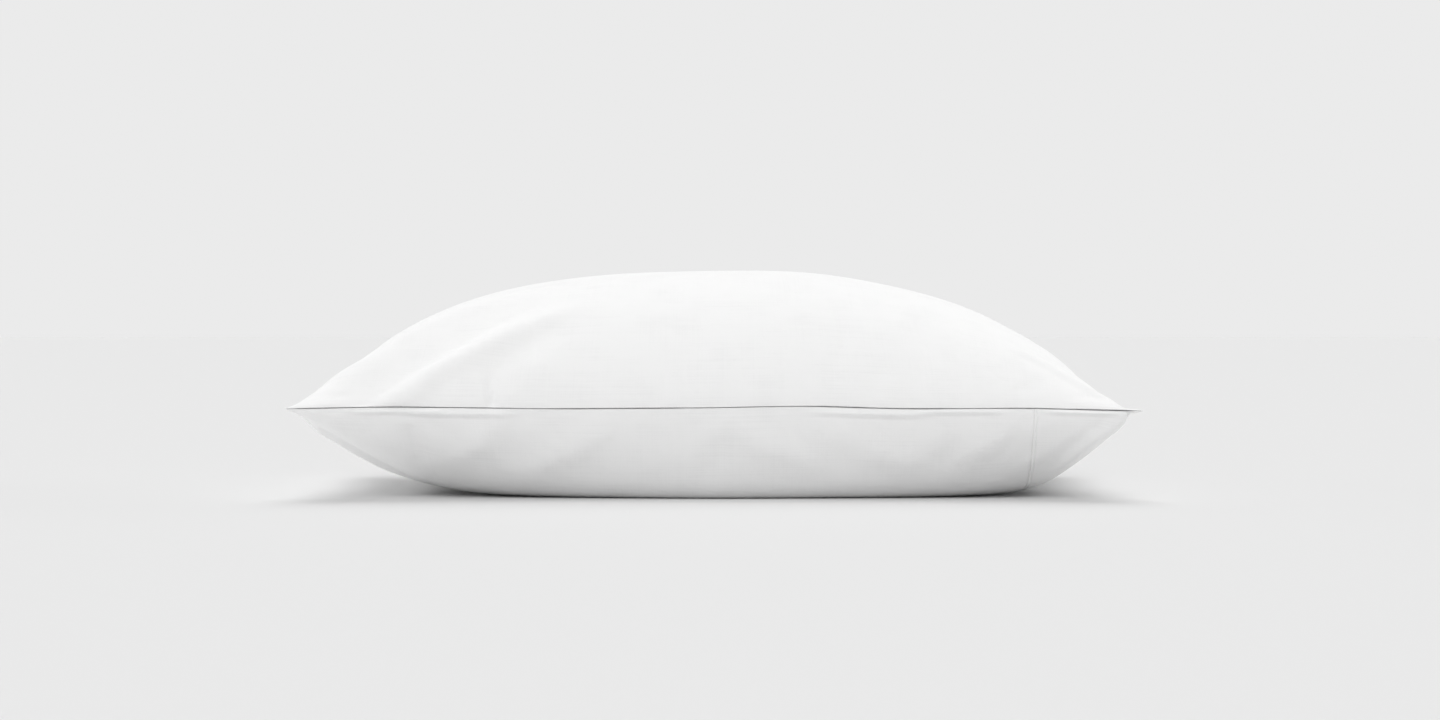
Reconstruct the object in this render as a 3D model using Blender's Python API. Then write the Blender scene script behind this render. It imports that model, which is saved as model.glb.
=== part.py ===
"""A filled white pillowcase lying on its back panel. Metres, +Z up, +X towards the open (hemmed) end.

The case and the pillow inside it are one closed solid: a crowned front panel, a flatter back panel that rests
on the floor, and a thin flat lip all round where the two are sewn together. The lip is widest at the hemmed
mouth. The origin is on the floor, under the middle of the corner-to-corner rectangle.
"""

import math
from collections import namedtuple

import bmesh
import bpy

# Driving dimensions, in metres
LENGTH = 0.730  # corner to corner along X, filled
WIDTH = 0.480  # corner to corner along Y, filled
SEAM_HEIGHT = 0.080  # the middle of the lip above the floor
LIP_THICKNESS = 0.0018  # two layers of cotton and their seam allowance
SIDE_LIP = 0.003  # flat width of the lip along the two long sides and the closed end
MOUTH_LIP = 0.010  # flat width of the lip along the hemmed mouth, at +X
END_DRAWN_IN = 0.026  # how far each short end is pulled in at its middle
SIDE_DRAWN_IN = 0.020  # how far each long side is pulled in at its middle
FLOOR_BLEND = 0.018  # the back panel rounds into its flat patch over this depth
SEAM_WAVE = 0.0012  # rise and fall of the seam line
SEAM_WAVE_LENGTH = 0.27
FOLD_ROOM = 0.020  # a fold has its full height where the panel stands this far from the seam

# Quads along and across each panel
ALONG = 48
ACROSS = 32
EDGE_CROWDING = 0.6  # 0 spaces the quads evenly, 1 crowds them most towards the edges

# The shape of a section is (1 - |u| ** flat) ** full, with u from -1 to 1 across it: a larger flat gives a
# flatter top, and a smaller full gives steeper sides.
Section = namedtuple("Section", "flat full")

# How far a panel bulges from the seam, and its sections: towards each end along X, and across Y
Panel = namedtuple("Panel", "side bulge closed_end mouth across")
FRONT = Panel(1, 0.120, Section(2.8, 0.66), Section(2.6, 0.64), Section(2.4, 0.72))
BACK = Panel(-1, 0.152, Section(1.2, 0.59), Section(1.2, 0.37), Section(3.0, 0.60))

# The main soft folds, as straight creases from start to end. Height is outwards: a trough's is negative.
Fold = namedtuple("Fold", "panel start_x start_y end_x end_y width height")
FOLDS = (
    Fold(FRONT, -0.305, -0.225, -0.130, -0.130, 0.016, 0.0050),
    Fold(FRONT, -0.300, -0.180, -0.180, -0.120, 0.014, -0.0045),
    Fold(FRONT, -0.195, -0.225, -0.150, -0.165, 0.018, -0.0050),
    Fold(FRONT, 0.352, -0.215, 0.285, -0.030, 0.012, 0.0030),
    Fold(FRONT, -0.355, -0.150, -0.260, 0.080, 0.026, -0.0060),
    Fold(FRONT, -0.320, 0.215, -0.160, 0.110, 0.018, 0.0045),
    Fold(FRONT, 0.330, 0.215, 0.190, 0.120, 0.018, 0.0045),
    Fold(BACK, -0.180, -0.222, -0.245, -0.180, 0.014, 0.0040),
    Fold(BACK, -0.085, -0.222, -0.185, -0.180, 0.016, 0.0040),
    Fold(BACK, 0.015, -0.222, 0.110, -0.195, 0.016, 0.0035),
    Fold(BACK, 0.265, -0.225, 0.200, -0.190, 0.014, 0.0035),
    Fold(BACK, -0.275, -0.222, -0.250, -0.170, 0.014, -0.0035),
    Fold(BACK, -0.060, 0.222, 0.030, 0.180, 0.018, 0.0040),
)


def section_height(section, place):
    """1 in the middle of the section, and 0 from the edge outwards."""
    return max(0.0, 1.0 - abs(place) ** section.flat) ** section.full


def drawn_in_outline(along, across):
    """The point of the case's plan for a place on its flat cut, both from -1 to 1."""
    x = along * (LENGTH / 2 - END_DRAWN_IN * (1 - across**2))
    y = across * (WIDTH / 2 - SIDE_DRAWN_IN * (1 - abs(along) ** 2.5))
    return x, y


def filled_share(place, half_size, lip):
    """A place from -1 to 1 across the case, restated so that the filling ends at the lip."""
    return min(1.0, abs(place) * half_size / (half_size - lip))


def bulge(panel, along, across):
    """How far the filling pushes a panel out from the seam."""
    lengthwise, lip = (panel.mouth, MOUTH_LIP) if along > 0 else (panel.closed_end, SIDE_LIP)
    end = section_height(lengthwise, filled_share(along, LENGTH / 2, lip))
    side = section_height(panel.across, filled_share(across, WIDTH / 2, SIDE_LIP))
    return panel.bulge * end * side


def fold_height(panel, x, y, room):
    """What the folds add at a point of a panel that stands this far from the seam."""
    total = 0.0
    for fold in FOLDS:
        if fold.panel is not panel:
            continue
        run_x = fold.end_x - fold.start_x
        run_y = fold.end_y - fold.start_y
        length = math.hypot(run_x, run_y)
        share = ((x - fold.start_x) * run_x + (y - fold.start_y) * run_y) / length**2
        across = ((x - fold.start_x) * run_y - (y - fold.start_y) * run_x) / length
        if 0 < share < 1:
            total += fold.height * math.sin(math.pi * share) * math.exp(-((across / fold.width) ** 2))
    return total * min(1.0, room / FOLD_ROOM)


def rest_on_floor(drop):
    """A drop below the seam, rounded off and then held where the back panel meets the floor."""
    deepest = SEAM_HEIGHT - LIP_THICKNESS / 2
    if drop <= deepest - FLOOR_BLEND:
        return drop
    if drop >= deepest + FLOOR_BLEND:
        return deepest
    return deepest - (deepest + FLOOR_BLEND - drop) ** 2 / (4 * FLOOR_BLEND)


def seam_height(x):
    return SEAM_HEIGHT + SEAM_WAVE * math.sin(2 * math.pi * x / SEAM_WAVE_LENGTH)


def panel_height(panel, along, across):
    """The height above the floor of a place on a panel."""
    x, y = drawn_in_outline(along, across)
    room = bulge(panel, along, across)
    room += fold_height(panel, x, y, room)
    half_lip = LIP_THICKNESS / 2
    if panel is FRONT:
        return seam_height(x) + half_lip + room
    # The seam's wave fades out downwards, so that the patch on the floor is flat.
    drop = rest_on_floor(room)
    wave = (seam_height(x) - SEAM_HEIGHT) * (1 - drop / (SEAM_HEIGHT - half_lip))
    return SEAM_HEIGHT - half_lip - drop + wave


def crowded(place):
    """Moves evenly spaced rows of quads towards the edges, where a panel curves most."""
    return (1 - EDGE_CROWDING) * place + EDGE_CROWDING * math.sin(math.pi / 2 * place)


def add_panel(mesh, panel):
    """Adds a panel to the mesh as a grid, shaped, with its faces pointing out of the case."""
    made = bmesh.ops.create_grid(mesh, x_segments=ALONG, y_segments=ACROSS, size=1)
    for vert in made["verts"]:
        along, across = crowded(vert.co.x), crowded(vert.co.y)
        x, y = drawn_in_outline(along, across)
        vert.co = (x, y, panel_height(panel, along, across))
    if panel.side < 0:
        faces = {face for vert in made["verts"] for face in vert.link_faces}
        bmesh.ops.reverse_faces(mesh, faces=list(faces))


def make_pillowcase(collection, material):
    """The filled case: two panels joined all round by the edge of the lip."""
    mesh = bmesh.new()
    for panel in (FRONT, BACK):
        add_panel(mesh, panel)
    rim = [edge for edge in mesh.edges if edge.is_boundary]
    bmesh.ops.bridge_loops(mesh, edges=rim)
    bmesh.ops.recalc_face_normals(mesh, faces=mesh.faces)
    data = bpy.data.meshes.new("pillowcase")
    mesh.to_mesh(data)
    mesh.free()
    data.shade_smooth()
    data.materials.append(material)
    pillowcase = bpy.data.objects.new("pillowcase", data)
    collection.objects.link(pillowcase)
    return pillowcase


def white_cotton():
    material = bpy.data.materials.new("white_cotton")
    material.use_nodes = True
    shader = material.node_tree.nodes["Principled BSDF"]
    shader.inputs["Base Color"].default_value = (0.86, 0.86, 0.86, 1)
    shader.inputs["Roughness"].default_value = 0.85
    shader.inputs["Metallic"].default_value = 0.0
    return material


def main():
    for obj in list(bpy.data.objects):
        bpy.data.objects.remove(obj)
    collection = bpy.data.collections.new("filled_pillowcase")
    bpy.context.scene.collection.children.link(collection)
    make_pillowcase(collection, white_cotton())


main()
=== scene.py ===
"""The looks of a filled white pillowcase: percale cotton with its seam, folds, gathers and stitched hem.

Metres, +Z up, +X towards the hemmed mouth. The pillow lies on its back panel. A place on the cloth is given
as (how far along an edge, how far in from that edge). The first is X for the near and far edges, and Y for
the closed end and the mouth. The second is measured on the cloth.
"""

import math
from collections import namedtuple

import bpy
import numpy as np
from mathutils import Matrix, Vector


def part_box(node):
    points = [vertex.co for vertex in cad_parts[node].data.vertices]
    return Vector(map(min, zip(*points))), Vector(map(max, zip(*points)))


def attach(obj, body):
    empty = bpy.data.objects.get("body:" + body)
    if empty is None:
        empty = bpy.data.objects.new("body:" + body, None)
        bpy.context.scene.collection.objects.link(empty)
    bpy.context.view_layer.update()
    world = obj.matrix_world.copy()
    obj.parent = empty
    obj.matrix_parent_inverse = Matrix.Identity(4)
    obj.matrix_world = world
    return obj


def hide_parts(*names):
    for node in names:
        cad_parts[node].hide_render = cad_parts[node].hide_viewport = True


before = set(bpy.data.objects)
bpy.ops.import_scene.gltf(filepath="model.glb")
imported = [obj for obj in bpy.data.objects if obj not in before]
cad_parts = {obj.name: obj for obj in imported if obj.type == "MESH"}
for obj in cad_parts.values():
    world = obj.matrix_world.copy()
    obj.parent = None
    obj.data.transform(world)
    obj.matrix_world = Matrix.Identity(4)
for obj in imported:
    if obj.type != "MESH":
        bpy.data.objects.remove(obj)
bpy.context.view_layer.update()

NODE = "pillowcase"
node_low, node_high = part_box(NODE)
HALF_LENGTH = (node_high.x - node_low.x) / 2
HALF_WIDTH = (node_high.y - node_low.y) / 2

# The filled shape. It follows the CAD model, with a narrower lip and the seam's own rise and fall.
SEAM_HEIGHT = 0.080
END_DRAWN_IN = 0.026
SIDE_DRAWN_IN = 0.020
SIDE_SQUARENESS = 2.5  # a larger number keeps the long sides straight for longer before they reach a corner
SIDE_LIP = 0.0006  # the filling reaches to the seam along the sides and the closed end
MOUTH_LIP = 0.010
HALF_LIP_THICKNESS = 0.0011
FLOOR_BLEND = 0.018

Section = namedtuple("Section", "flat full")
Panel = namedtuple("Panel", "side bulge closed_end mouth across")
FRONT = Panel(1, 0.120, Section(2.8, 0.66), Section(2.6, 0.64), Section(2.4, 0.72))
BACK = Panel(-1, 0.152, Section(1.2, 0.59), Section(1.2, 0.37), Section(3.0, 0.60))
PANELS = (FRONT, BACK)

# The seam rises and falls a little: (x, height above its middle level)
SEAM_RISE = (
    (-0.365, -0.0004),
    (-0.280, 0.0012),
    (-0.135, -0.0008),
    (-0.010, 0.0000),
    (0.080, 0.0017),
    (0.160, -0.0008),
    (0.270, 0.0000),
    (0.365, -0.0022),
)
SEAM_RISE_SAMPLES = 400
SEAM_RISE_SMOOTHING = 45  # samples

# The mesh: steps in from an edge, and the even step between them, on the cloth
ROW_STEPS = (0.0002, 0.00045, 0.0008, 0.0013, 0.0020, 0.0030, 0.0043, 0.0060, 0.0081, 0.0106, 0.0134)
COLUMN_STEPS = (0.00005, 0.00015, 0.0003, 0.0006, 0.0010, 0.0016, 0.0024, 0.0034, 0.0048, 0.0068, 0.0095)
EVEN_STEP = 0.0034
DENSE_SAMPLES = 2001
CLOTH_ACROSS = 2.2  # about how many half widths of the case a panel measures across, for counting its rows

# The seam: a deep and fine slit where the panels meet. The allowance behind it presses out in places.
SLIT_DEPTH = 0.0055
SLIT_WIDTH = 0.00028
SLIT_FADE = 0.018  # the slit grows shallow this near to a corner
SLIT_AT_CORNER = 0.15
Ripple = namedtuple("Ripple", "share along_x along_y start")
SLIT_RIPPLES = (  # the slit's width varies along the seam
    Ripple(0.22, 31, 17, 1.3),
    Ripple(0.18, 83, 61, 0.0),
)
ALLOWANCE_HEIGHT = 0.0029
ALLOWANCE_EDGE = 0.0010
STRETCH_SQUARENESS = 6  # a larger number makes a stretch start and end more suddenly
Stretch = namedtuple("Stretch", "start end width")
ALLOWANCE_STRETCHES = (  # along the near seam, from the closed end to the mouth
    Stretch(-0.312, -0.235, 0.0045),
    Stretch(-0.262, -0.175, 0.0062),
    Stretch(0.085, 0.185, 0.0062),
    Stretch(0.175, 0.250, 0.0035),
    Stretch(0.284, 0.345, 0.0032),
)

# The hem on the back panel: its folded edge, and a row of stitches nearer the mouth
HEM_X = 0.2740
HEM_COLUMN = HEM_X / HALF_LENGTH
HEM_HUMP = 0.20  # how far from the hem the mesh bends to follow it, as a share of the half length
STITCH_ROW_FROM_HEM = 0.0028
HEM_GROOVE_DEPTH = 0.0010
STITCH_GROOVE_DEPTH = 0.7 * HEM_GROOVE_DEPTH
HEM_GROOVE_WIDTH = 0.0004
HEM_STEP = 0.0004
HEM_STEP_WIDTH = 0.0003
HEM_STEP_FADE = 0.03  # the step fades out this near to the mouth
HEM_COLUMN_OFFSETS = (-0.0010, -0.0006, -0.0003, 0.0, 0.0003, 0.0006, 0.0010)

STITCH_LENGTH = 0.0024
STITCH_PITCH = 0.0031
STITCH_RADIUS = 0.00028
STITCH_ROW_MARGIN = 0.003  # the row starts and ends this far from the side seams
STITCH_SIDES = 6
Ring = namedtuple("Ring", "share thickness lift")
STITCH_RINGS = (  # share is of the stitch's length, and thickness and lift are shares of its radius
    Ring(0.0, 0.45, -0.9),
    Ring(0.12, 0.9, 0.1),
    Ring(0.5, 1.0, 0.55),
    Ring(0.88, 0.9, 0.1),
    Ring(1.0, 0.45, -0.9),
)

# Soft folds. Each starts at an edge of a panel, and its points are places on the cloth from that edge.
# Height is outwards, so a trough's is negative. The second width is the one to the right of its run.
Fold = namedtuple("Fold", "panel edge width right_width height points")
FOLDS = (
    # Front panel, near edge, from the closed end to the mouth
    Fold(FRONT, "near", 0.014, 0.012, 0.0050,
         ((-0.292, -0.020), (-0.244, 0.033), (-0.207, 0.061), (-0.170, 0.089), (-0.085, 0.150))),
    Fold(FRONT, "near", 0.013, 0.021, 0.0064,
         ((-0.352, 0.006), (-0.324, 0.046), (-0.288, 0.080), (-0.253, 0.122),
          (-0.219, 0.148), (-0.175, 0.165), (-0.110, 0.184))),
    Fold(FRONT, "near", 0.026, 0.008, -0.0042,
         ((-0.318, -0.014), (-0.293, 0.011), (-0.261, 0.041), (-0.226, 0.073),
          (-0.191, 0.106), (-0.140, 0.148))),
    Fold(FRONT, "near", 0.013, 0.015, -0.0020,
         ((-0.205, 0.012), (-0.185, 0.040), (-0.155, 0.070), (-0.105, 0.112))),
    Fold(FRONT, "near", 0.0026, 0.0038, -0.0034,
         ((-0.188, -0.018), (-0.192, 0.012), (-0.198, 0.046))),
    Fold(FRONT, "near", 0.014, 0.016, 0.0010,
         ((-0.168, 0.000), (-0.160, 0.030), (-0.140, 0.085))),
    Fold(FRONT, "near", 0.0025, 0.0025, -0.0010,
         ((-0.332, 0.012), (-0.310, 0.018))),
    Fold(FRONT, "near", 0.0025, 0.0025, -0.0010,
         ((-0.352, 0.008), (-0.338, 0.012))),
    Fold(FRONT, "near", 0.005, 0.010, 0.0030,
         ((0.350, 0.012), (0.322, 0.034), (0.286, 0.064), (0.240, 0.100))),
    Fold(FRONT, "near", 0.004, 0.004, -0.0020,
         ((0.352, 0.024), (0.330, 0.048), (0.300, 0.082), (0.262, 0.118))),
    # Back panel, near edge
    Fold(BACK, "near", 0.013, 0.012, 0.0024,
         ((-0.172, 0.006), (-0.206, 0.036), (-0.243, 0.070))),
    Fold(BACK, "near", 0.015, 0.014, 0.0026,
         ((-0.076, 0.010), (-0.142, 0.048), (-0.190, 0.085))),
    Fold(BACK, "near", 0.014, 0.013, 0.0024,
         ((0.000, 0.010), (0.044, 0.034), (0.115, 0.068))),
    Fold(BACK, "near", 0.014, 0.013, 0.0018,
         ((0.080, 0.010), (0.160, 0.047), (0.210, 0.065))),
    Fold(BACK, "near", 0.012, 0.012, 0.0022,
         ((0.268, 0.006), (0.236, 0.034), (0.198, 0.060))),
    Fold(BACK, "near", 0.007, 0.010, -0.0026,
         ((-0.264, 0.012), (-0.257, 0.040), (-0.250, 0.075))),
    # Back panel: the creases where it turns under at the two near corners
    Fold(BACK, "near", 0.014, 0.0050, 0.0070,
         ((-0.356, 0.022), (-0.343, 0.052), (-0.324, 0.085), (-0.298, 0.120), (-0.236, 0.184))),
    Fold(BACK, "near", 0.006, 0.016, 0.0050,
         ((0.360, -0.004), (0.327, 0.028), (0.306, 0.060), (0.262, 0.120))),
    # Front panel, the far edge and both ends
    Fold(FRONT, "far", 0.013, 0.014, 0.0046,
         ((0.296, -0.020), (0.246, 0.032), (0.205, 0.064), (0.120, 0.125))),
    Fold(FRONT, "far", 0.012, 0.015, 0.0042,
         ((-0.300, -0.020), (-0.262, 0.034), (-0.222, 0.070), (-0.150, 0.120))),
    Fold(FRONT, "far", 0.010, 0.012, 0.0026,
         ((0.060, -0.014), (0.046, 0.030), (0.010, 0.085))),
    Fold(FRONT, "far", 0.006, 0.009, -0.0028,
         ((-0.118, -0.012), (-0.110, 0.022), (-0.084, 0.070))),
    Fold(FRONT, "closed", 0.011, 0.014, 0.0030,
         ((-0.060, -0.015), (-0.046, 0.045), (-0.020, 0.120))),
    Fold(FRONT, "closed", 0.013, 0.012, 0.0042,
         ((0.150, -0.020), (0.112, 0.045), (0.050, 0.120))),
    Fold(FRONT, "closed", 0.006, 0.008, -0.0026,
         ((0.048, -0.012), (0.040, 0.030), (0.030, 0.075))),
    Fold(FRONT, "mouth", 0.012, 0.010, 0.0030,
         ((-0.130, 0.004), (-0.100, 0.050), (-0.052, 0.110))),
    Fold(FRONT, "mouth", 0.012, 0.012, 0.0036,
         ((0.150, 0.004), (0.118, 0.050), (0.070, 0.110))),
    Fold(FRONT, "mouth", 0.008, 0.010, -0.0022,
         ((0.020, 0.006), (0.016, 0.040), (0.008, 0.080))),
    # Back panel, the far edge and both ends
    Fold(BACK, "far", 0.013, 0.012, 0.0026,
         ((0.178, 0.000), (0.214, 0.038), (0.250, 0.074))),
    Fold(BACK, "far", 0.015, 0.013, 0.0026,
         ((0.030, 0.000), (-0.040, 0.042), (-0.110, 0.080))),
    Fold(BACK, "far", 0.012, 0.013, 0.0024,
         ((-0.262, 0.000), (-0.226, 0.036), (-0.180, 0.064))),
    Fold(BACK, "closed", 0.011, 0.010, 0.0024,
         ((-0.120, 0.000), (-0.096, 0.036), (-0.066, 0.070))),
    Fold(BACK, "closed", 0.010, 0.012, 0.0024,
         ((0.110, 0.000), (0.126, 0.036), (0.134, 0.064))),
    Fold(BACK, "mouth", 0.012, 0.010, 0.0022,
         ((0.090, 0.006), (0.066, 0.034), (0.030, 0.064))),
)

SEAM_HOLD = 0.004  # the stitching holds the panels flat this near to the seam
FADE_IN = 0.20  # a fold grows to its full height over this share of its length
FADE_OUT = 0.50  # and fades out over this share at its end

# Gathers: what each is drawn between, as shares of its row's even value or in metres
SEED = 11
GATHER_SPACING = (0.45, 1.6)
GATHER_LENGTH = (0.5, 1.6)
GATHER_HEIGHT = (-1.2, 1.0)
GATHER_WIDTH = (0.0035, 0.0085)
GATHER_LEAN = (-0.35, 0.35)
GATHER_LEAN_TO_MIDDLE = 0.5  # a gather leans towards the middle of its edge, by this much at the corners
GATHER_WIDENING = 0.12  # a gather grows wider inwards by this share of the way
GATHER_FADE = 1.5
Gathers = namedtuple("Gathers", "panel edge reach spacing length height")
GATHERS = (
    Gathers(FRONT, "near", HALF_LENGTH, 0.030, 0.030, 0.0007),
    Gathers(BACK, "near", HALF_LENGTH, 0.026, 0.028, 0.0008),
    Gathers(FRONT, "far", HALF_LENGTH, 0.026, 0.040, 0.0012),
    Gathers(BACK, "far", HALF_LENGTH, 0.026, 0.040, 0.0012),
    Gathers(FRONT, "closed", HALF_WIDTH, 0.024, 0.050, 0.0014),
    Gathers(BACK, "closed", HALF_WIDTH, 0.024, 0.050, 0.0014),
    Gathers(FRONT, "mouth", HALF_WIDTH, 0.030, 0.045, 0.0010),
    Gathers(BACK, "mouth", HALF_WIDTH, 0.030, 0.045, 0.0010),
)

# The cloth simulation
SIM_STEP = 0.0062
SIM_FRAMES = 20
SIM_CAP = 0.006  # no crease moves a point by more than this
SIM_SHARE_NEAR = 0.30  # the near side is pulled smooth, and the far side is left more creased
SIM_SHARE_FAR = 0.75
SIM_SMOOTH_PASSES = 60
SIM_CLEAR_OF_SEAM = 0.02  # creases fade out this near to the lip
SIM_CLEAR_OF_FLOOR = 0.035  # creases fade out below this height
SMALLEST_SIZE = 1e-9  # keeps a division away from 0

# The camera looks along +Y from the front, a little down
CAMERA_PLACE = (0.005, -2.87, 0.147)
CAMERA_DOWN = math.radians(0.557)
CAMERA_LENS = 77.1
CAMERA_SENSOR = 36.0

# The weave. A scale is how many patches of noise there are in a metre along, across and between the panels.
THREAD_PITCH = 0.0006
WEFT_SCALE = (9.0, 900.0, 5.0)
WARP_SCALE = (800.0, 9.0, 5.0)
WARP_SHARE = 0.5
MOTTLE_SCALE = (28.0, 28.0, 5.0)
CREASE_SCALE = (38.0, 46.0, 5.0)
FINE_DETAIL = 3.0
COLOUR_MIX = 0.8
DARK_COTTON = (0.836, 0.836, 0.837, 1)
LIGHT_COTTON = (0.884, 0.884, 0.883, 1)
DARK_UP_TO = 0.6
CREASE_HEIGHT = 0.0007
SLUB_HEIGHT = 0.00009
WEAVE_HEIGHT = 0.00004
TWIST_SCALE = 900.0
TWIST_HEIGHT = 0.00008

BACKGROUND = 0.83  # what the camera sees past the floor
AMBIENT = 0.43  # what lights the scene from all round
FLOOR_COLOUR = 0.734
FLOOR_REACH = 60.0

Sun = namedtuple("Sun", "name azimuth elevation spread strength")
SUNS = (
    Sun("overhead_light", 180.0, 84.0, 45.0, 0.84),
    Sun("top_light", 180.0, 50.0, 45.0, 0.86),
    Sun("front_light", -5.0, 34.0, 40.0, 0.95),
    Sun("fill_light", -50.0, 8.0, 60.0, 0.22),
    Sun("left_edge_light", -104.0, 3.0, 20.0, 0.45),
    Sun("right_edge_light", 106.0, 3.0, 20.0, 0.80),
)

# Flat lights that lie on the floor beside the pillow and light the overhang at its ends
Card = namedtuple("Card", "name x y length width power")
CARDS = (
    Card("left_card", -0.42, -0.08, 0.30, 0.50, 0.09),
    Card("right_card", 0.47, -0.08, 0.30, 0.50, 0.05),
)
CARD_HEIGHT = 0.002


# The filled shape


def section_height(section, place):
    """1 in the middle of the section, and 0 from the edge outwards."""
    return np.maximum(0.0, 1.0 - np.abs(place) ** section.flat) ** section.full


def filled_share(place, half_size, lip):
    """A place from -1 to 1 across the case, restated so that the filling ends at the lip."""
    return np.minimum(1.0, np.abs(place) * half_size / (half_size - lip))


def plan_of(along, across):
    """The point of the case's plan for a place on its flat cut, both from -1 to 1."""
    x = along * (HALF_LENGTH - END_DRAWN_IN * (1 - across**2))
    y = across * (HALF_WIDTH - SIDE_DRAWN_IN * (1 - np.abs(along) ** SIDE_SQUARENESS))
    return x, y


def bulge_of(panel, along, across):
    """How far the filling pushes a panel out from the seam."""
    at_closed_end = section_height(panel.closed_end, filled_share(along, HALF_LENGTH, SIDE_LIP))
    at_mouth = section_height(panel.mouth, filled_share(along, HALF_LENGTH, MOUTH_LIP))
    end = np.where(along > 0, at_mouth, at_closed_end)
    side = section_height(panel.across, filled_share(across, HALF_WIDTH, SIDE_LIP))
    return panel.bulge * end * side


def lip_of(along, across):
    """Half the thickness of the rounded lip, which is 0 at the seam."""
    inside = np.minimum((1 - np.abs(along)) * HALF_LENGTH, (1 - np.abs(across)) * HALF_WIDTH)
    short = 1 - np.clip(inside / HALF_LIP_THICKNESS, 0, 1)
    return HALF_LIP_THICKNESS * np.sqrt(1 - short**2)


def rest_on_floor(drop):
    """A drop below the seam, rounded off and then held where the back panel meets the floor."""
    rounded = SEAM_HEIGHT - (SEAM_HEIGHT + FLOOR_BLEND - drop) ** 2 / (4 * FLOOR_BLEND)
    held = np.where(drop > SEAM_HEIGHT + FLOOR_BLEND, SEAM_HEIGHT, rounded)
    return np.where(drop > SEAM_HEIGHT - FLOOR_BLEND, held, drop)


def seam_rise(x):
    """The seam's rise above its middle level, smoothly between the points of SEAM_RISE."""
    places, rises = np.array(SEAM_RISE).T
    dense = np.linspace(places[0], places[-1], SEAM_RISE_SAMPLES)
    line = np.interp(dense, places, rises)
    smoothing = np.hanning(SEAM_RISE_SMOOTHING)
    padded = np.pad(line, len(smoothing) // 2, mode="edge")
    return np.interp(x, dense, np.convolve(padded, smoothing / smoothing.sum(), mode="valid"))


def surface(panel, along, across):
    """Points of the panel at rest, with no folds."""
    x, y = plan_of(along, across)
    room = lip_of(along, across) + bulge_of(panel, along, across)
    rise = seam_rise(x)
    if panel is FRONT:
        return np.stack([x, y, SEAM_HEIGHT + rise + room], axis=-1)
    drop = rest_on_floor(room)
    return np.stack([x, y, SEAM_HEIGHT - drop + rise * (1 - drop / SEAM_HEIGHT)], axis=-1)


# The mesh of both panels


def run_along(points, axis):
    """Distance on the cloth from the first point, along one direction of a grid of points."""
    steps = np.linalg.norm(np.diff(points, axis=axis), axis=-1)
    start = np.zeros_like(np.take(steps, [0], axis=axis))
    return np.concatenate([start, np.cumsum(steps, axis=axis)], axis=axis)


def column_places(even_step, edge_steps, extra=()):
    """Places along the case from -1 to 1: even in the middle, closer at the ends and by the extra ones."""
    last = edge_steps[-1] if edge_steps else 0.0
    count = round(2 * (HALF_LENGTH - last) / even_step)
    even = np.linspace(-(HALF_LENGTH - last), HALF_LENGTH - last, count + 1)
    edges = [HALF_LENGTH - step for step in (0.0, *edge_steps[:-1])] if edge_steps else []
    kept = [x for x in even if all(abs(x - other) > even_step / 2 for other in extra)]
    return np.array(sorted([-x for x in edges] + kept + list(extra) + edges)) / HALF_LENGTH


def row_places(panel, along, even_count, edge_steps):
    """Places across one column from -1 to 1, even on the cloth in the middle and closer at the seams."""
    dense = np.sin(np.linspace(-1, 1, DENSE_SAMPLES) * math.pi / 2)
    run = run_along(surface(panel, np.full(DENSE_SAMPLES, along), dense), 0)
    last = edge_steps[-1] if edge_steps else 0.0
    inner = np.linspace(last, run[-1] - last, even_count + 1)
    outer = np.array((0.0, *edge_steps[:-1])) if edge_steps else np.array([])
    wanted = np.concatenate([outer, inner, run[-1] - outer[::-1]])
    places = np.interp(wanted, run, dense)
    places[0], places[-1] = -1.0, 1.0
    return places


def follow_hem(columns, across):
    """Bends the columns near the hem, so that one of them runs straight across the case with it."""
    at_row = HEM_X / (HALF_LENGTH - END_DRAWN_IN * (1 - across**2))
    hump = np.maximum(0, 1 - ((columns - HEM_COLUMN) / HEM_HUMP) ** 2) ** 2
    return columns[:, None] + hump[:, None] * (at_row - HEM_COLUMN)


class PanelGrid:
    """A panel as a grid of points, with each point's place on the cloth from every edge."""

    def __init__(self, panel, columns, even_rows, edge_steps):
        self.panel = panel
        across = np.array([row_places(panel, along, even_rows, edge_steps) for along in columns])
        along = follow_hem(columns, across)
        self.columns = columns
        self.points = surface(panel, along, across)
        self.from_closed = run_along(self.points, 0)
        self.from_near = run_along(self.points, 1)
        self.from_mouth = self.from_closed[-1:] - self.from_closed
        self.from_far = self.from_near[:, -1:] - self.from_near
        self.height = np.zeros(along.shape)

    def place_from(self, edge):
        """How far along that edge, and how far in from it, each point is."""
        x, y = self.points[..., 0], self.points[..., 1]
        return {
            "near": (x, self.from_near),
            "far": (x, self.from_far),
            "closed": (y, self.from_closed),
            "mouth": (y, self.from_mouth),
        }[edge]


def join_grids(front, back):
    """Points, faces and each grid's vertex numbers: the panels share the vertices of the seam."""
    shape = front.height.shape
    front_numbers = np.arange(shape[0] * shape[1]).reshape(shape)
    back_numbers = front_numbers.copy()
    inner = (shape[0] - 2, shape[1] - 2)
    back_numbers[1:-1, 1:-1] = front_numbers.size + np.arange(inner[0] * inner[1]).reshape(inner)
    points = np.concatenate([front.points.reshape(-1, 3), back.points[1:-1, 1:-1].reshape(-1, 3)])
    faces = np.concatenate([quads_of(front_numbers), quads_of(back_numbers)[:, ::-1]])
    return points, faces, (front_numbers, back_numbers)


def quads_of(numbers):
    corners = (numbers[:-1, :-1], numbers[1:, :-1], numbers[1:, 1:], numbers[:-1, 1:])
    return np.stack([corner.ravel() for corner in corners], axis=1)


def mesh_object(name, points, faces):
    """A new smooth object in the scene. Each face is a list of its vertices' numbers."""
    data = bpy.data.meshes.new(name)
    data.from_pydata(points.tolist(), [], faces)
    data.update()
    data.shade_smooth()
    made = bpy.data.objects.new(name, data)
    bpy.context.scene.collection.objects.link(made)
    return made


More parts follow.
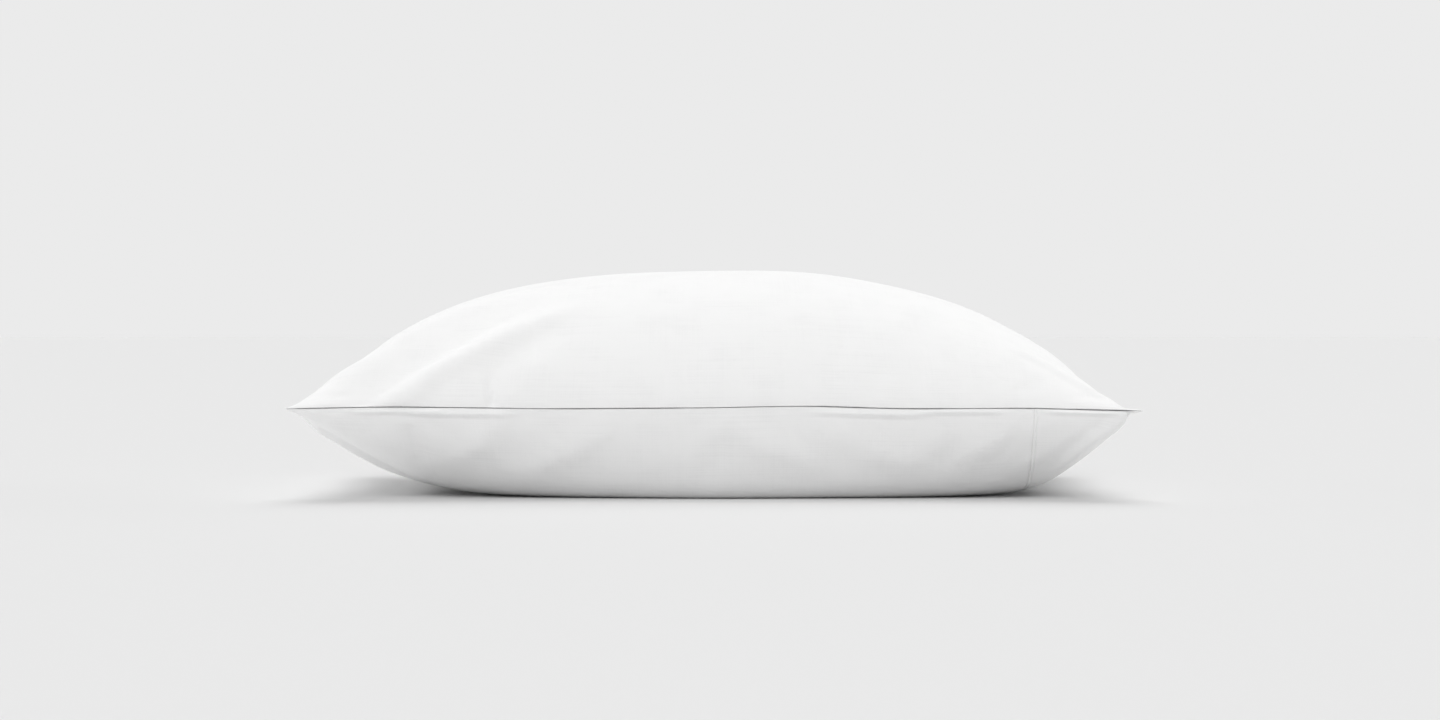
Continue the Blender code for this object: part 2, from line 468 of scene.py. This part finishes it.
def normals_of(mesh):
    normals = np.empty(len(mesh.vertices) * 3, np.float32)
    mesh.vertex_normals.foreach_get("vector", normals)
    return normals.reshape(-1, 3).astype(float)


def points_of(mesh):
    points = np.empty(len(mesh.vertices) * 3, np.float32)
    mesh.vertices.foreach_get("co", points)
    return points.reshape(-1, 3).astype(float)


# Folds, gathers, seam and hem, as heights over a panel


def nearest_on_path(path, along, inward):
    """Each place's distance from the path, positive to the left of it, and its share along the path."""
    path = np.array(path, float)
    lengths = np.linalg.norm(np.diff(path, axis=0), axis=1)
    before = np.concatenate([[0.0], np.cumsum(lengths)])
    best = np.full(along.shape, np.inf)
    signed = np.zeros(along.shape)
    share = np.zeros(along.shape)
    for index, length in enumerate(lengths):
        start = path[index]
        step = (path[index + 1] - start) / length
        off_x, off_y = along - start[0], inward - start[1]
        run = np.clip(off_x * step[0] + off_y * step[1], 0, length)
        away = np.hypot(off_x - run * step[0], off_y - run * step[1])
        side = step[0] * off_y - step[1] * off_x
        closer = away < best
        best = np.where(closer, away, best)
        signed = np.where(closer, np.copysign(away, side), signed)
        share = np.where(closer, (before[index] + run) / before[-1], share)
    return signed, share


def eased(share):
    """0 below 0, 1 above 1, and a smooth step between."""
    held = np.clip(share, 0, 1)
    return held * held * (3 - 2 * held)


def fold_height(fold, along, inward):
    """A soft ridge or trough that fades out at both ends and may be steeper on one side."""
    signed, share = nearest_on_path(fold.points, along, inward)
    width = np.where(signed > 0, fold.width, fold.right_width)
    taper = eased(share / FADE_IN) * eased((1 - share) / FADE_OUT)
    return fold.height * taper * np.exp(-((signed / width) ** 2))


def add_folds(grid):
    for fold in FOLDS:
        if fold.panel is grid.panel:
            along, inward = grid.place_from(fold.edge)
            grid.height += fold_height(fold, along, inward) * eased(inward / SEAM_HOLD)


def add_gathers(grid, gathers, random):
    """Small folds that start at a seam and fade out inwards, at uneven distances from each other."""
    along, inward = grid.place_from(gathers.edge)
    place = -gathers.reach
    start = MOUTH_LIP if gathers.edge == "mouth" else 0.0
    while place < gathers.reach:
        place += gathers.spacing * random.uniform(*GATHER_SPACING)
        length = gathers.length * random.uniform(*GATHER_LENGTH)
        height = gathers.height * random.uniform(*GATHER_HEIGHT)
        width = random.uniform(*GATHER_WIDTH)
        lean = random.uniform(*GATHER_LEAN) - GATHER_LEAN_TO_MIDDLE * place / gathers.reach
        middle = place + lean * inward
        held = np.clip((inward - start) / SEAM_HOLD, 0, 1)
        fade = np.clip(1 - (inward - start) / length, 0, 1) ** GATHER_FADE * held
        spread = width + GATHER_WIDENING * inward
        grid.height += height * fade * np.exp(-(((along - middle) / spread) ** 2))


def add_allowance(grid):
    """The seam allowance inside presses the back panel out in some stretches just under the near seam."""
    along, inward = grid.place_from("near")
    for stretch in ALLOWANCE_STRETCHES:
        middle, half = (stretch.start + stretch.end) / 2, (stretch.end - stretch.start) / 2
        envelope = np.exp(-(((along - middle) / half) ** STRETCH_SQUARENESS))
        slope = np.clip(inward / stretch.width, 0, 1)
        step = np.exp(-((np.maximum(inward - stretch.width, 0) / ALLOWANCE_EDGE) ** 2))
        grid.height += ALLOWANCE_HEIGHT * envelope * slope * step


def slit_unevenness(x, y):
    """The slit's width at each place, as a share of its even width."""
    width = 1.0
    for ripple in SLIT_RIPPLES:
        width = width + ripple.share * np.sin(ripple.along_x * x + ripple.along_y * y + ripple.start)
    return width


def seam_pull(grid):
    """How far the stitching moves each point straight in, which leaves a slit where the panels meet."""
    x, y = grid.points[..., 0], grid.points[..., 1]
    from_side = np.minimum(grid.from_near, grid.from_far)
    from_end = np.minimum(grid.from_closed, grid.from_mouth)
    width = SLIT_WIDTH * slit_unevenness(x, y)
    at_side = np.exp(-((from_side / width) ** 2)) * (SLIT_AT_CORNER + eased(from_end / SLIT_FADE))
    at_end = np.exp(-((from_end / width) ** 2)) * (SLIT_AT_CORNER + eased(from_side / SLIT_FADE))
    pull = np.zeros(grid.points.shape)
    pull[..., 0] = -np.sign(x) * SLIT_DEPTH * np.minimum(at_end, 1)
    pull[..., 1] = -np.sign(y) * SLIT_DEPTH * np.minimum(at_side, 1)
    return pull


def add_hem(grid):
    """The hem's folded edge shows as a fine line, with thicker cloth and a stitched row beyond it."""
    from_edge = (grid.columns[:, None] - HEM_COLUMN) * HALF_LENGTH
    for line, depth in ((0.0, HEM_GROOVE_DEPTH), (STITCH_ROW_FROM_HEM, STITCH_GROOVE_DEPTH)):
        grid.height -= depth * np.exp(-(((from_edge - line) / HEM_GROOVE_WIDTH) ** 2))
    thicker = 1 / (1 + np.exp(-from_edge / HEM_STEP_WIDTH))
    grid.height += HEM_STEP * thicker * np.clip(grid.from_mouth / HEM_STEP_FADE, 0, 1)


# The simulated cloth


def relaxed(field, passes):
    """The field with its neighbours averaged in, again and again."""
    for _ in range(passes):
        padded = np.pad(field, ((1, 1), (1, 1), (0, 0)), mode="edge")
        neighbours = padded[:-2, 1:-1] + padded[2:, 1:-1] + padded[1:-1, :-2] + padded[1:-1, 2:]
        field = (neighbours + 4 * field) / 8
    return field


def inflate(pillow, seam_numbers):
    """Runs Blender's cloth with air pressure inside the closed mesh, and returns the settled points."""
    seam = pillow.vertex_groups.new(name="seam")
    seam.add(seam_numbers, 1.0, "REPLACE")
    cloth = pillow.modifiers.new("cloth", "CLOTH")
    settings = cloth.settings
    settings.quality = 5
    settings.mass = 0.25
    settings.tension_stiffness = 15
    settings.compression_stiffness = 12
    settings.shear_stiffness = 6
    settings.bending_stiffness = 0.4
    settings.use_pressure = True
    settings.uniform_pressure_force = 4.0
    settings.shrink_min = -0.02
    settings.shrink_max = -0.02
    settings.effector_weights.gravity = 0
    settings.vertex_group_mass = "seam"
    cloth.point_cache.frame_start = 1
    cloth.point_cache.frame_end = SIM_FRAMES
    for number in range(1, SIM_FRAMES + 1):
        bpy.context.scene.frame_set(number)
    graph = bpy.context.evaluated_depsgraph_get()
    settled = points_of(pillow.evaluated_get(graph).data)
    bpy.context.scene.frame_set(1)
    return settled


def simulated_movement():
    """The creases that the simulation adds to each panel, as a field of moves over a coarse grid."""
    columns = column_places(SIM_STEP, ())
    rows = round(CLOTH_ACROSS * HALF_WIDTH / SIM_STEP)
    grids = [PanelGrid(panel, columns, rows, ()) for panel in PANELS]
    points, faces, numbers = join_grids(*grids)
    pillow = mesh_object("simulated", points, faces.tolist())
    ring = np.unique(np.concatenate([numbers[0][[0, -1]].ravel(), numbers[0][:, [0, -1]].ravel()]))
    moves = inflate(pillow, ring.tolist()) - points
    bpy.data.objects.remove(pillow)
    fields = []
    for grid_numbers in numbers:
        field = moves[grid_numbers]
        creases = field - relaxed(field, SIM_SMOOTH_PASSES)
        size = np.linalg.norm(creases, axis=-1, keepdims=True)
        fields.append(creases * np.minimum(1, SIM_CAP / np.maximum(size, SMALLEST_SIZE)))
    return columns, fields


def spread_field(columns, field, grid):
    """The coarse field read at each point of a finer grid."""
    across_share = grid.from_near / grid.from_near[:, -1:]
    coarse_share = np.linspace(0, 1, field.shape[1])
    column_number = np.interp(grid.columns, columns, np.arange(len(columns)))
    lower = np.minimum(column_number.astype(int), len(columns) - 2)
    blend = (column_number - lower)[:, None]
    spread = np.empty(grid.points.shape)
    for axis in range(3):
        by_column = field[lower, :, axis] * (1 - blend) + field[lower + 1, :, axis] * blend
        for index, line in enumerate(by_column):
            spread[index, :, axis] = np.interp(across_share[index], coarse_share, line)
    return spread * creased_share(grid)[..., None]


def creased_share(grid):
    """How much of the simulated creases each point keeps: none at the lip or floor, most on the far side."""
    from_seam = np.minimum(np.minimum(grid.from_near, grid.from_far), grid.from_closed)
    from_seam = np.minimum(from_seam, np.maximum(grid.from_mouth - MOUTH_LIP, 0))
    clear_of_seam = np.clip(from_seam / SIM_CLEAR_OF_SEAM, 0, 1)
    clear_of_floor = np.clip(grid.points[..., 2] / SIM_CLEAR_OF_FLOOR, 0, 1) ** 2
    far_side = np.clip(0.5 + grid.points[..., 1] / HALF_WIDTH, 0, 1)
    return clear_of_seam * clear_of_floor * (SIM_SHARE_NEAR + (SIM_SHARE_FAR - SIM_SHARE_NEAR) * far_side)


# The pillowcase


def add_cloth_places(mesh, grids, numbers, count):
    """Stores each vertex's place on the flat cloth, in metres, for the weave to follow."""
    places = np.zeros((count, 3), np.float32)
    for grid, grid_numbers in reversed(list(zip(grids, numbers))):
        middle = grid.from_near.shape[1] // 2
        along = grid.from_closed[:, middle][:, None] + np.zeros(grid.height.shape)
        flat = np.stack([along, grid.from_near, np.full(grid.height.shape, grid.panel.side)], axis=-1)
        places[grid_numbers.ravel()] = flat.reshape(-1, 3)
    stored = mesh.attributes.new("cloth_place", "FLOAT_VECTOR", "POINT")
    stored.data.foreach_set("vector", places.ravel())


def add_details(grids):
    """Adds the gathers, folds, allowance and hem to the grids' heights."""
    random = np.random.default_rng(SEED)
    for gathers in GATHERS:
        grid = grids[PANELS.index(gathers.panel)]
        add_gathers(grid, gathers, random)
    for grid in grids:
        add_folds(grid)
    back_grid = grids[PANELS.index(BACK)]
    add_allowance(back_grid)
    add_hem(back_grid)


def add_simulated_creases(points, grids, numbers):
    """Moves the points inside each panel by the creases of the simulated cloth."""
    columns, fields = simulated_movement()
    for grid, grid_numbers, field in zip(grids, numbers, fields):
        moves = spread_field(columns, field, grid)
        points[grid_numbers[1:-1, 1:-1].ravel()] += moves[1:-1, 1:-1].reshape(-1, 3)


def add_heights_and_pulls(points, normals, grids, numbers):
    """Moves the points out by the grids' heights, in where the seam is pulled, and up out of the floor."""
    heights = np.zeros(len(points))
    for grid, grid_numbers in reversed(list(zip(grids, numbers))):
        heights[grid_numbers.ravel()] = grid.height.ravel()
    points += normals * heights[:, None]
    pulls = np.zeros(points.shape)
    for grid, grid_numbers in zip(grids, numbers):
        pulls[grid_numbers.ravel()] = seam_pull(grid).reshape(-1, 3)
    points += pulls
    points[:, 2] = np.maximum(points[:, 2], 0.0)


def make_cloth():
    """The cloth, with the points and normals of the line that the hem's stitches follow."""
    lines = (HEM_X, HEM_X + STITCH_ROW_FROM_HEM)
    fine = [line + offset for line in lines for offset in HEM_COLUMN_OFFSETS]
    columns = column_places(EVEN_STEP, COLUMN_STEPS, fine)
    even_rows = round(CLOTH_ACROSS * HALF_WIDTH / EVEN_STEP)
    grids = [PanelGrid(panel, columns, even_rows, ROW_STEPS) for panel in PANELS]
    points, faces, numbers = join_grids(*grids)
    cloth = mesh_object("pillowcase_cloth", points, faces.tolist())
    normals = normals_of(cloth.data)

    add_details(grids)
    add_simulated_creases(points, grids, numbers)
    add_heights_and_pulls(points, normals, grids, numbers)
    cloth.data.vertices.foreach_set("co", points.astype(np.float32).ravel())
    add_cloth_places(cloth.data, grids, numbers, len(points))
    cloth.data.update()

    column = int(np.argmin(np.abs(columns * HALF_LENGTH - HEM_X - STITCH_ROW_FROM_HEM)))
    line_numbers = numbers[PANELS.index(BACK)][column]
    return cloth, points[line_numbers], normals_of(cloth.data)[line_numbers]


def stitch_points(start, end, out, radius):
    """A stitch as a short arched thread, from start to end, bowed outwards."""
    run = end - start
    side = np.cross(run, out)
    side /= np.linalg.norm(side)
    rings = []
    for ring in STITCH_RINGS:
        centre = start + run * ring.share + out * radius * ring.lift
        for corner in range(STITCH_SIDES):
            turn = math.tau * corner / STITCH_SIDES
            rings.append(centre + radius * ring.thickness * (math.cos(turn) * side + math.sin(turn) * out))
    return np.array(rings)


def stitch_faces(first):
    """The sides and both ends of a stitch whose first vertex has that number."""
    faces = []
    for ring in range(len(STITCH_RINGS) - 1):
        ring_first = first + ring * STITCH_SIDES
        for corner in range(STITCH_SIDES):
            a = ring_first + corner
            b = ring_first + (corner + 1) % STITCH_SIDES
            faces.append((a, b, b + STITCH_SIDES, a + STITCH_SIDES))
    last_ring = first + (len(STITCH_RINGS) - 1) * STITCH_SIDES
    faces.append(tuple(first + corner for corner in reversed(range(STITCH_SIDES))))
    faces.append(tuple(last_ring + corner for corner in range(STITCH_SIDES)))
    return faces


def point_at(run, line, place):
    """The point of a line of points at that distance along it."""
    return np.array([np.interp(place, run, line[:, axis]) for axis in range(3)])


def make_stitches(line, normals):
    """The hem's row of stitches, from one side seam across the back panel to the other."""
    run = run_along(line, 0)
    all_points, all_faces = [], []
    points_each = len(STITCH_RINGS) * STITCH_SIDES
    place = STITCH_ROW_MARGIN
    while place + STITCH_LENGTH < run[-1] - STITCH_ROW_MARGIN:
        start, end = point_at(run, line, place), point_at(run, line, place + STITCH_LENGTH)
        out = point_at(run, normals, place)
        out /= np.linalg.norm(out)
        all_faces += stitch_faces(points_each * len(all_points))
        all_points.append(stitch_points(start, end, out, STITCH_RADIUS))
        place += STITCH_PITCH
    joined = np.concatenate(all_points)
    joined[:, 2] = np.maximum(joined[:, 2], 0.0)
    return mesh_object("hem_stitches", joined, all_faces)


# Materials


def new_material(name, colour, roughness):
    """A plain material, its node tree and its shader. colour is a grey from 0 to 1."""
    material = bpy.data.materials.new(name)
    material.use_nodes = True
    shader = material.node_tree.nodes["Principled BSDF"]
    shader.inputs["Base Color"].default_value = (colour, colour, colour, 1)
    shader.inputs["Roughness"].default_value = roughness
    return material, material.node_tree, shader


def scaled(tree, vector, scale):
    mapping = tree.nodes.new("ShaderNodeMapping")
    mapping.inputs["Scale"].default_value = scale
    tree.links.new(vector, mapping.inputs["Vector"])
    return mapping.outputs["Vector"]


def noise(tree, vector, scale, detail=2.0):
    """Noise over the cloth. scale is how many of its patches there are in a metre, each way."""
    texture = tree.nodes.new("ShaderNodeTexNoise")
    texture.inputs["Scale"].default_value = 1.0
    texture.inputs["Detail"].default_value = detail
    tree.links.new(scaled(tree, vector, scale), texture.inputs["Vector"])
    return texture.outputs["Fac"]


def math_node(tree, operation, first, second=None):
    node = tree.nodes.new("ShaderNodeMath")
    node.operation = operation
    for socket, value in zip(node.inputs, (first, second)):
        if value is None:
            continue
        if isinstance(value, (int, float)):
            socket.default_value = value
        else:
            tree.links.new(value, socket)
    return node.outputs["Value"]


def bump(tree, height, distance, before=None):
    node = tree.nodes.new("ShaderNodeBump")
    node.inputs["Distance"].default_value = distance
    tree.links.new(height, node.inputs["Height"])
    if before is not None:
        tree.links.new(before, node.inputs["Normal"])
    return node.outputs["Normal"]


def plain_weave(tree, place):
    """Height of a plain weave: threads one way pass over and under those the other way."""
    parts = tree.nodes.new("ShaderNodeSeparateXYZ")
    tree.links.new(place, parts.inputs["Vector"])
    turns = math.pi / THREAD_PITCH
    along = math_node(tree, "SINE", math_node(tree, "MULTIPLY", parts.outputs["X"], turns))
    across = math_node(tree, "SINE", math_node(tree, "MULTIPLY", parts.outputs["Y"], turns))
    return math_node(tree, "MULTIPLY", along, across)


def cotton_colour(tree, slubs, mottle):
    """White that is a little darker in places, by the slubs and the mottle."""
    ramp = tree.nodes.new("ShaderNodeValToRGB")
    dark, light = ramp.color_ramp.elements
    dark.position = DARK_UP_TO
    dark.color = DARK_COTTON
    light.position = 1.0
    light.color = LIGHT_COTTON
    mixed = math_node(tree, "MULTIPLY", math_node(tree, "ADD", slubs, mottle), COLOUR_MIX)
    tree.links.new(mixed, ramp.inputs["Fac"])
    return ramp.outputs["Color"]


def percale():
    """White percale cotton: a fine plain weave with slubs both ways, faint unevenness and a dry sheen."""
    material, tree, shader = new_material("percale_cotton", 0.86, 0.85)
    attribute = tree.nodes.new("ShaderNodeAttribute")
    attribute.attribute_name = "cloth_place"
    place = attribute.outputs["Vector"]
    weft = noise(tree, place, WEFT_SCALE)
    warp = noise(tree, place, WARP_SCALE)
    slubs = math_node(tree, "ADD", weft, math_node(tree, "MULTIPLY", warp, WARP_SHARE))
    mottle = noise(tree, place, MOTTLE_SCALE, FINE_DETAIL)
    tree.links.new(cotton_colour(tree, slubs, mottle), shader.inputs["Base Color"])
    soft_creases = noise(tree, place, CREASE_SCALE, FINE_DETAIL)
    normal = bump(tree, soft_creases, CREASE_HEIGHT)
    normal = bump(tree, slubs, SLUB_HEIGHT, normal)
    normal = bump(tree, plain_weave(tree, place), WEAVE_HEIGHT, normal)
    tree.links.new(normal, shader.inputs["Normal"])
    shader.inputs["Sheen Weight"].default_value = 0.12
    shader.inputs["Sheen Roughness"].default_value = 0.5
    shader.inputs["Specular IOR Level"].default_value = 0.25
    return material


def thread():
    """Cotton sewing thread, with its twist."""
    material, tree, shader = new_material("cotton_thread", 0.88, 0.7)
    coordinates = tree.nodes.new("ShaderNodeTexCoord")
    twist = tree.nodes.new("ShaderNodeTexWave")
    twist.bands_direction = "DIAGONAL"
    twist.inputs["Scale"].default_value = TWIST_SCALE
    tree.links.new(coordinates.outputs["Object"], twist.inputs["Vector"])
    tree.links.new(bump(tree, twist.outputs["Fac"], TWIST_HEIGHT), shader.inputs["Normal"])
    return material


def floor_material():
    """A smooth matt studio floor."""
    material, _, shader = new_material("studio_floor", FLOOR_COLOUR, 0.9)
    shader.inputs["Specular IOR Level"].default_value = 0.1
    return material


# The studio


def add_floor():
    corners = np.array([(-1, -1, 0), (1, -1, 0), (1, 1, 0), (-1, 1, 0)], float) * FLOOR_REACH
    floor = mesh_object("studio_floor", corners, [(0, 1, 2, 3)])
    floor.data.materials.append(floor_material())


def add_sun(sun):
    """A soft light from far away. Azimuth 0 is in front of the pillow, and 90 is at the mouth's end."""
    light = bpy.data.lights.new(sun.name, "SUN")
    light.energy = sun.strength
    light.angle = math.radians(sun.spread)
    lamp = bpy.data.objects.new(sun.name, light)
    azimuth, elevation = math.radians(sun.azimuth), math.radians(sun.elevation)
    towards = Vector(
        (
            math.sin(azimuth) * math.cos(elevation),
            -math.cos(azimuth) * math.cos(elevation),
            math.sin(elevation),
        )
    )
    lamp.rotation_euler = towards.to_track_quat("Z", "Y").to_euler()
    bpy.context.scene.collection.objects.link(lamp)


def add_card(card):
    """A flat light that faces straight up and that the camera doesn't see."""
    light = bpy.data.lights.new(card.name, "AREA")
    light.shape = "RECTANGLE"
    light.size = card.length
    light.size_y = card.width
    light.energy = card.power
    lamp = bpy.data.objects.new(card.name, light)
    lamp.location = (card.x, card.y, CARD_HEIGHT)
    lamp.rotation_euler = (math.pi, 0, 0)
    lamp.visible_camera = False
    bpy.context.scene.collection.objects.link(lamp)


def add_surroundings():
    world = bpy.data.worlds.new("studio")
    world.use_nodes = True
    tree = world.node_tree
    background = tree.nodes["Background"]
    background.inputs["Color"].default_value = (1, 1, 1, 1)
    path = tree.nodes.new("ShaderNodeLightPath")
    strength = tree.nodes.new("ShaderNodeMapRange")
    strength.inputs["To Min"].default_value = AMBIENT
    strength.inputs["To Max"].default_value = BACKGROUND
    tree.links.new(path.outputs["Is Camera Ray"], strength.inputs["Value"])
    tree.links.new(strength.outputs["Result"], background.inputs["Strength"])
    bpy.context.scene.world = world
    bpy.context.scene.view_settings.view_transform = "Standard"


def add_camera():
    data = bpy.data.cameras.new("camera")
    data.lens = CAMERA_LENS
    data.sensor_width = CAMERA_SENSOR
    camera = bpy.data.objects.new("camera", data)
    camera.location = CAMERA_PLACE
    camera.rotation_euler = (math.pi / 2 - CAMERA_DOWN, 0, 0)
    bpy.context.scene.collection.objects.link(camera)
    bpy.context.scene.camera = camera


add_camera()
add_surroundings()
add_floor()
for each_sun in SUNS:
    add_sun(each_sun)
for each_card in CARDS:
    add_card(each_card)

cloth_piece, stitch_line, stitch_normals = make_cloth()
cloth_piece.data.materials.append(percale())
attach(cloth_piece, "root")
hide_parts(NODE)

stitches = make_stitches(stitch_line, stitch_normals)
stitches.data.materials.append(thread())
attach(stitches, "root")
